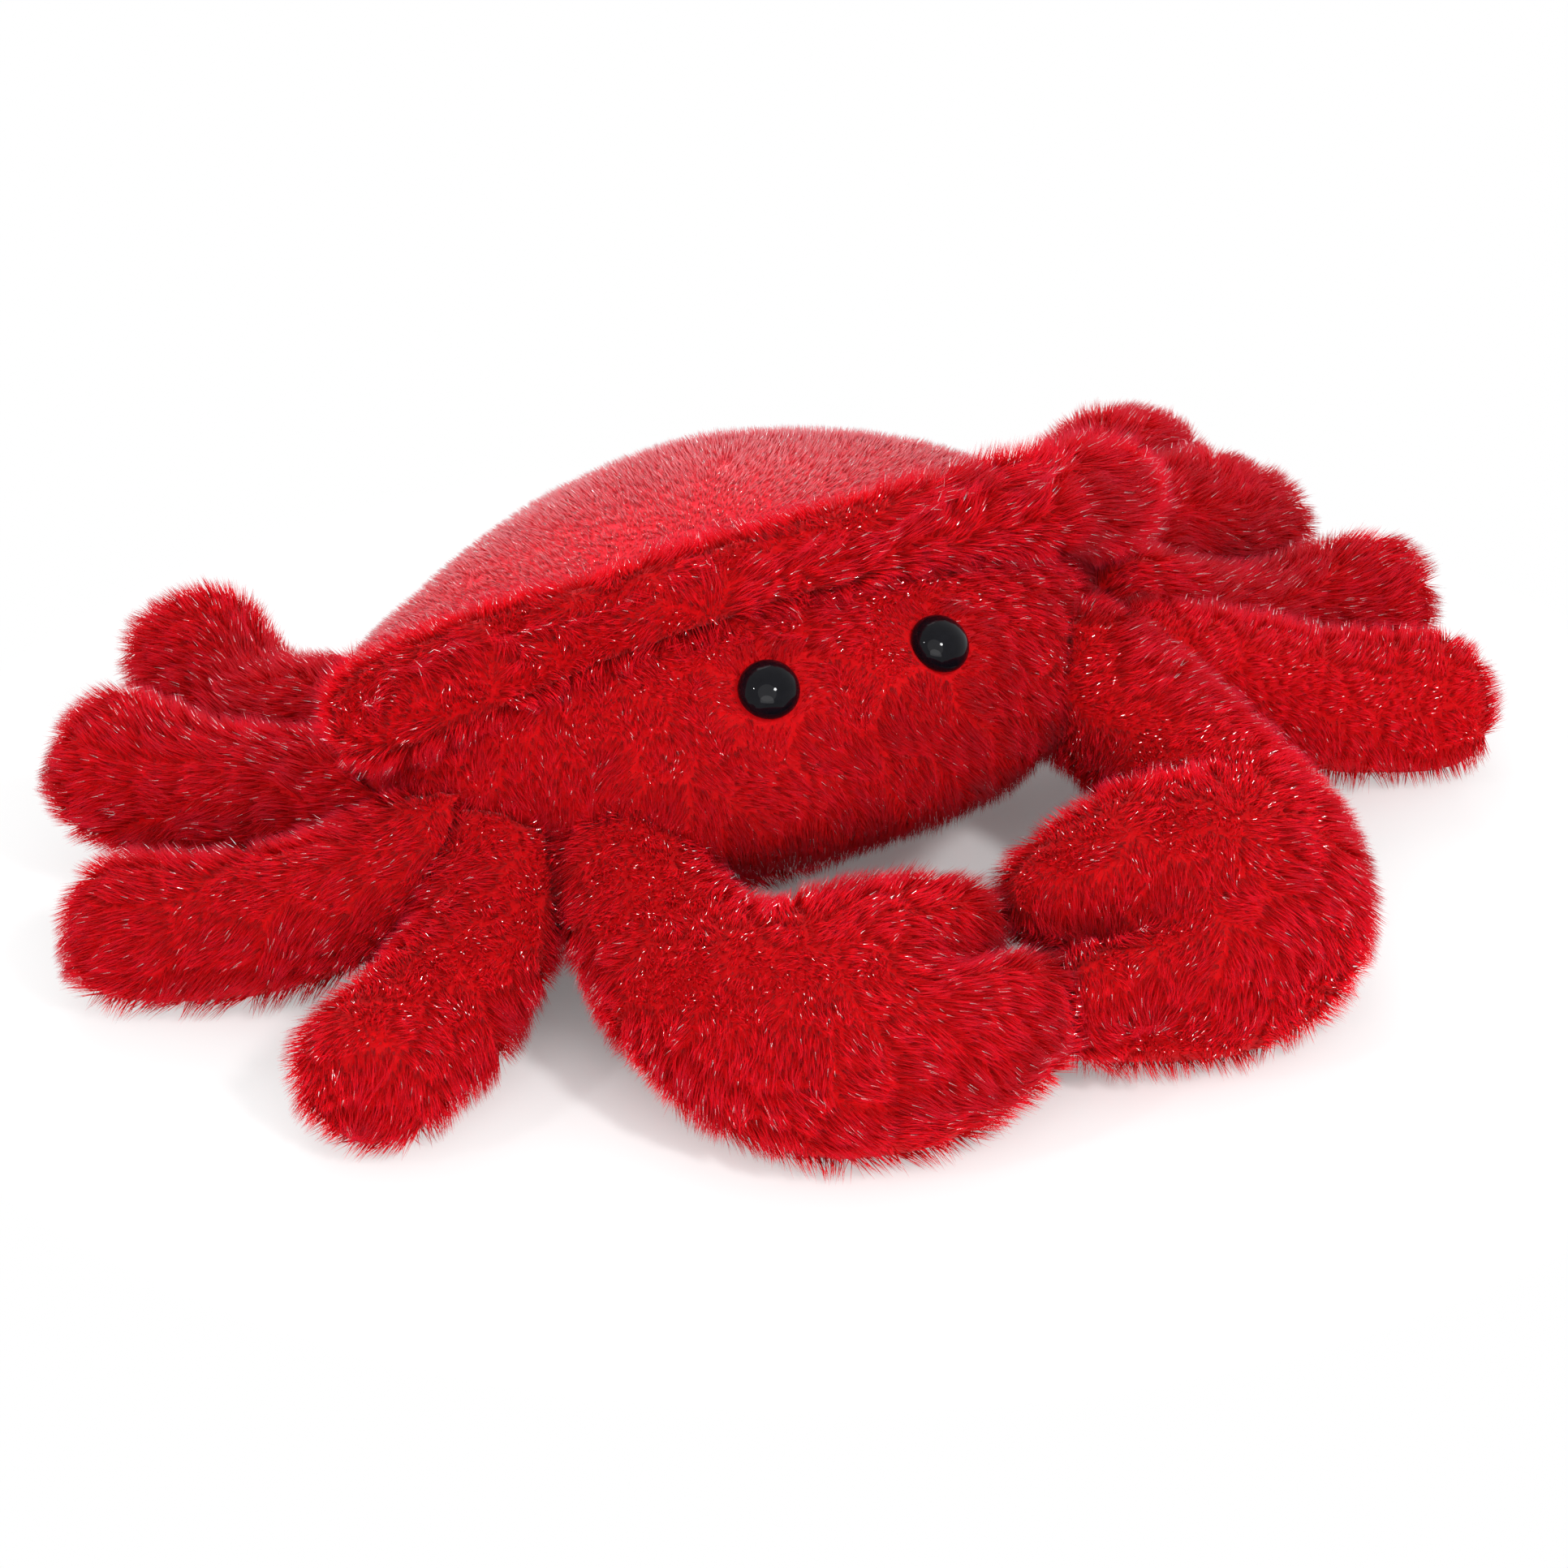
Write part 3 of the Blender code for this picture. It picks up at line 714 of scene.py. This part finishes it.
def pile_material(name, pile, root, tip, sheen, sheen_tint):
    material, nodes, links, shader = new_material(name)
    tones = nodes.new("ShaderNodeGroup")
    tones.node_tree = pile_tone
    for socket, colour in (("Root", root), ("Tip", tip), ("Glint", PAINTED_GLINT_COLOUR)):
        tones.inputs[socket].default_value = (*colour, 1.0)
    tones.inputs["Glint share"].default_value = pile["glint_share"]
    links.new(tones.outputs["Colour"], shader.inputs["Base Color"])
    links.new(tones.outputs["Roughness"], shader.inputs["Roughness"])
    links.new(tones.outputs["Glint mask"], shader.inputs["Metallic"])
    set_plush(shader, 0.04, sheen, 0.45, sheen_tint)
    return material


# Each pile's root colour is painted shade, and its paler tip colour is painted sheen.
long_pile = pile_material(
    "long_pile", LONG_PILE, (0.52, 0.001, 0.002), (0.68, 0.002, 0.006), 0.04, LONG_SHEEN_TINT
)
short_pile = pile_material(
    "short_pile", SHORT_PILE, (0.66, 0.008, 0.016), (0.86, 0.080, 0.105), 0.20, SHORT_SHEEN_TINT
)

# %% [markdown]
# ## Knit of the backing cloth
# Between the tufts the knit shows as a soft ground, as the thick undercoat of a real plush does. It
# is painted a little darker than the pile, as the shade that falls deep between the tufts. Its
# loops are a fine bump on object coordinates, so the cloth needs no flat layout.

# %% Dye the backing cloth
KNIT_LIFT = 0.0002


def knit_material(name, ground, sheen, sheen_tint):
    material, nodes, links, shader = new_material(name)
    loops = object_noise(nodes, links, 1400.0)
    loops.inputs["Detail"].default_value = 3.0
    tone = ranged(nodes, links, loops.outputs["Fac"], 0.35, 0.65, 0.85, 1.08)
    colour = mixed(nodes, links, "MULTIPLY", 1.0, (*ground, 1.0), tone)
    links.new(colour, shader.inputs["Base Color"])
    bump = nodes.new("ShaderNodeBump")
    bump.inputs["Distance"].default_value = KNIT_LIFT
    links.new(loops.outputs["Fac"], bump.inputs["Height"])
    links.new(bump.outputs["Normal"], shader.inputs["Normal"])
    shader.inputs["Roughness"].default_value = 0.85
    set_plush(shader, 0.1, sheen, 0.35, sheen_tint)
    return material


# The long pile's knit is painted darker than the pile's tips, as shade between the tufts.
long_knit = knit_material("long_pile_knit", (0.50, 0.001, 0.003), 0.20, LONG_SHEEN_TINT)
short_knit = knit_material("short_pile_knit", (0.80, 0.030, 0.050), 0.50, SHORT_SHEEN_TINT)

for node in soft_nodes:
    short = node == "shell"
    cloth, pelt = cloths[node], pelts[node]
    cloth.data.materials.append(short_knit if short else long_knit)
    pelt.data.materials.append(short_pile if short else long_pile)
    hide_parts(node)
    for piece in (cloth, pelt):
        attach(piece, "root")
print("pile and knit on", len(soft_nodes), "pieces")

# %% [markdown]
# ## Eyes
# Each eye is a polished black dome on a ribbed shank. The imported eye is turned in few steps, so a
# finer one takes its place: a sphere is flattened behind, drawn to the dome's height and given
# its shank by extruding the back.

# %% Model the eyes
EYE_HEIGHT = 0.0062
EYE_BACK_SHARE = 0.42
SHANK_RADIUS = 0.0015
# The shank behind the dome, as the length of each step and how much wider it ends.
SHANK_STEPS = ((0.0050, 1.0), (0.0004, 1.15), (0.0004, 1.0 / 1.15), (0.0028, 0.7))


def turned_eye(name, line, back):
    """A polished dome, with its back at that place on the line, and its shank."""
    bpy.ops.object.select_all(action="DESELECT")
    bpy.ops.mesh.primitive_uv_sphere_add(segments=48, ring_count=32, radius=EYE_RADIUS)
    eye = bpy.context.object
    eye.name = name
    widest = EYE_BACK_SHARE * EYE_HEIGHT
    for corner in eye.data.vertices:
        share = corner.co.z / EYE_RADIUS
        corner.co.z = widest + share * (EYE_HEIGHT - widest if share > 0 else widest)
    bpy.ops.object.mode_set(mode="EDIT")
    bpy.ops.mesh.select_mode(type="FACE")
    bpy.ops.mesh.select_all(action="DESELECT")
    bpy.ops.object.mode_set(mode="OBJECT")
    for face in eye.data.polygons:
        centre = face.center
        face.select = centre.z < widest and math.hypot(centre.x, centre.y) < SHANK_RADIUS
    bpy.ops.object.mode_set(mode="EDIT")
    for length, size in SHANK_STEPS:
        bpy.ops.mesh.extrude_region_move(TRANSFORM_OT_translate={"value": (0.0, 0.0, -length)})
        bpy.ops.transform.resize(value=(size, size, 1.0))
    bpy.ops.object.mode_set(mode="OBJECT")
    eye.rotation_euler = line[1].to_track_quat("Z", "Y").to_euler()
    eye.location = back
    bpy.ops.object.transform_apply(location=True, rotation=True, scale=True)
    bpy.ops.object.shade_smooth()
    return eye


def eye_back(name, line):
    """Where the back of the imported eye's dome lies on its line."""
    heights = [(v.co - line[0]).dot(line[1]) for v in solids[name].data.vertices]
    return line[0] + line[1] * (max(heights) - EYE_HEIGHT)


eye_gloss, gloss_nodes, gloss_links, gloss_shader = new_material("eye_gloss")
dust = object_noise(gloss_nodes, gloss_links, 900.0).outputs["Fac"]
dust_rough = ranged(gloss_nodes, gloss_links, dust, 0.45, 0.75, 0.03, 0.10)
gloss_links.new(dust_rough, gloss_shader.inputs["Roughness"])
BLACK = (0.001, 0.001, 0.002, 1.0)
DUSTY_BLACK = (0.004, 0.004, 0.006, 1.0)
dust_tone = mixed(gloss_nodes, gloss_links, "MIX", dust, BLACK, DUSTY_BLACK)
gloss_links.new(dust_tone, gloss_shader.inputs["Base Color"])
gloss_shader.inputs["Specular IOR Level"].default_value = 0.13

for name, line in eye_lines.items():
    eye = turned_eye(name + "_dome", line, eye_back(name, line))
    eye.data.materials.append(eye_gloss)
    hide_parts(name)
    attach(eye, "root")
    print(eye.name, "faces:", len(eye.data.polygons))

# %% [markdown]
# ## Lock washers
# The washers are white moulded plastic inside the face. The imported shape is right, so it stays
# and only gets a finish.

# %% Finish the washers
washer_white, washer_nodes, washer_links, washer_shader = new_material("washer_white")
mould = object_noise(washer_nodes, washer_links, 1500.0).outputs["Fac"]
GREY_WHITE = (0.62, 0.62, 0.60, 1.0)
PALE_WHITE = (0.76, 0.76, 0.74, 1.0)
washer_tone = mixed(washer_nodes, washer_links, "MIX", mould, GREY_WHITE, PALE_WHITE)
washer_links.new(washer_tone, washer_shader.inputs["Base Color"])
washer_rough = ranged(washer_nodes, washer_links, mould, 0.3, 0.7, 0.40, 0.60)
washer_links.new(washer_rough, washer_shader.inputs["Roughness"])
for name in ("eye_washer_right", "eye_washer_left"):
    solids[name].data.materials.clear()
    solids[name].data.materials.append(washer_white)

# %% [markdown]
# ## Floor and light
# The crab lies on a plain white floor under soft studio light. A small key lamp above and in front
# gives the eyes their highlight, with a tiny spark lamp for a second one. Wide lamps stand behind
# the camera, low on the crab's right, which lights the chin, and behind the crab. The floor keeps
# the crab's shadow near it and fades to plain white further out.

# %% Set the stage
def seen_rays(nodes, links):
    """One where the ray comes from the camera, a mirroring surface or a clear one."""
    path = nodes.new("ShaderNodeLightPath")
    seen = path.outputs["Is Camera Ray"]
    for kind in ("Is Glossy Ray", "Is Transmission Ray"):
        seen = combined(nodes, links, "MAXIMUM", seen, path.outputs[kind])
    return seen


bpy.ops.object.select_all(action="DESELECT")
bpy.ops.mesh.primitive_plane_add(size=12.0)
floor = bpy.context.object
floor.name = "studio_floor"
SHADOW_REACH = 0.06
WHITE_REACH = 0.15
floor_white, floor_nodes, floor_links, floor_shader = new_material("studio_floor_white")
floor_shader.inputs["Base Color"].default_value = (0.92, 0.92, 0.92, 1.0)
floor_shader.inputs["Roughness"].default_value = 0.9
floor_shader.inputs["Specular IOR Level"].default_value = 0.0
floor_glow = floor_nodes.new("ShaderNodeEmission")
floor_mix = floor_nodes.new("ShaderNodeMixShader")
floor_place = floor_nodes.new("ShaderNodeTexCoord")
floor_reach = floor_nodes.new("ShaderNodeVectorMath")
floor_reach.operation = "LENGTH"
floor_links.new(floor_place.outputs["Object"], floor_reach.inputs[0])
glow_share = ranged(
    floor_nodes, floor_links, floor_reach.outputs["Value"], SHADOW_REACH, WHITE_REACH, 0.12, 1.0
)
floor_seen = seen_rays(floor_nodes, floor_links)
floor_share = combined(floor_nodes, floor_links, "MULTIPLY", floor_seen, glow_share)
floor_links.new(floor_share, floor_mix.inputs[0])
floor_links.new(floor_shader.outputs[0], floor_mix.inputs[1])
floor_links.new(floor_glow.outputs[0], floor_mix.inputs[2])
floor_links.new(floor_mix.outputs[0], floor_nodes["Material Output"].inputs["Surface"])
floor.data.materials.append(floor_white)

world = bpy.data.worlds.new("studio_world")
bpy.context.scene.world = world
world.use_nodes = True
world_nodes, world_links = world.node_tree.nodes, world.node_tree.links
world_light = world_nodes["Background"]
world_light.inputs["Color"].default_value = (1.0, 1.0, 1.0, 1.0)
world_seen = seen_rays(world_nodes, world_links)
world_strength = ranged(world_nodes, world_links, world_seen, 0.0, 1.0, 0.66, 1.0)
world_links.new(world_strength, world_light.inputs["Strength"])


def studio_lamp(name, place, aim, width, watts):
    bpy.ops.object.select_all(action="DESELECT")
    bpy.ops.object.light_add(type="AREA", location=place)
    lamp = bpy.context.object
    lamp.name = name
    lamp.data.shape = "DISK"
    lamp.data.size = width
    lamp.data.energy = watts
    lamp.rotation_euler = (Vector(place) - Vector(aim)).to_track_quat("Z", "Y").to_euler()
    return lamp


CRAB_MIDDLE = (0.0, 0.0, 0.03)
front_place = VIEW_POINT + view_back * 1.1 + view_up * 0.1
spark_place = VIEW_POINT + view_back * 0.9 - view_right * 0.85 + view_up * 0.40
studio_lamp("key_lamp", (0.03, -0.82, 0.78), CRAB_MIDDLE, 0.16, 5.6)
studio_lamp("front_lamp", front_place, VIEW_POINT, 1.20, 4.4)
studio_lamp("low_lamp", (-0.60, -1.00, 0.14), CRAB_MIDDLE, 0.90, 5.5)
studio_lamp("spark_lamp", spark_place, VIEW_POINT, 0.05, 2.0)
studio_lamp("back_lamp", (0.15, 0.80, 0.75), CRAB_MIDDLE, 0.90, 4.5)
bpy.context.scene.view_settings.view_transform = "Standard"
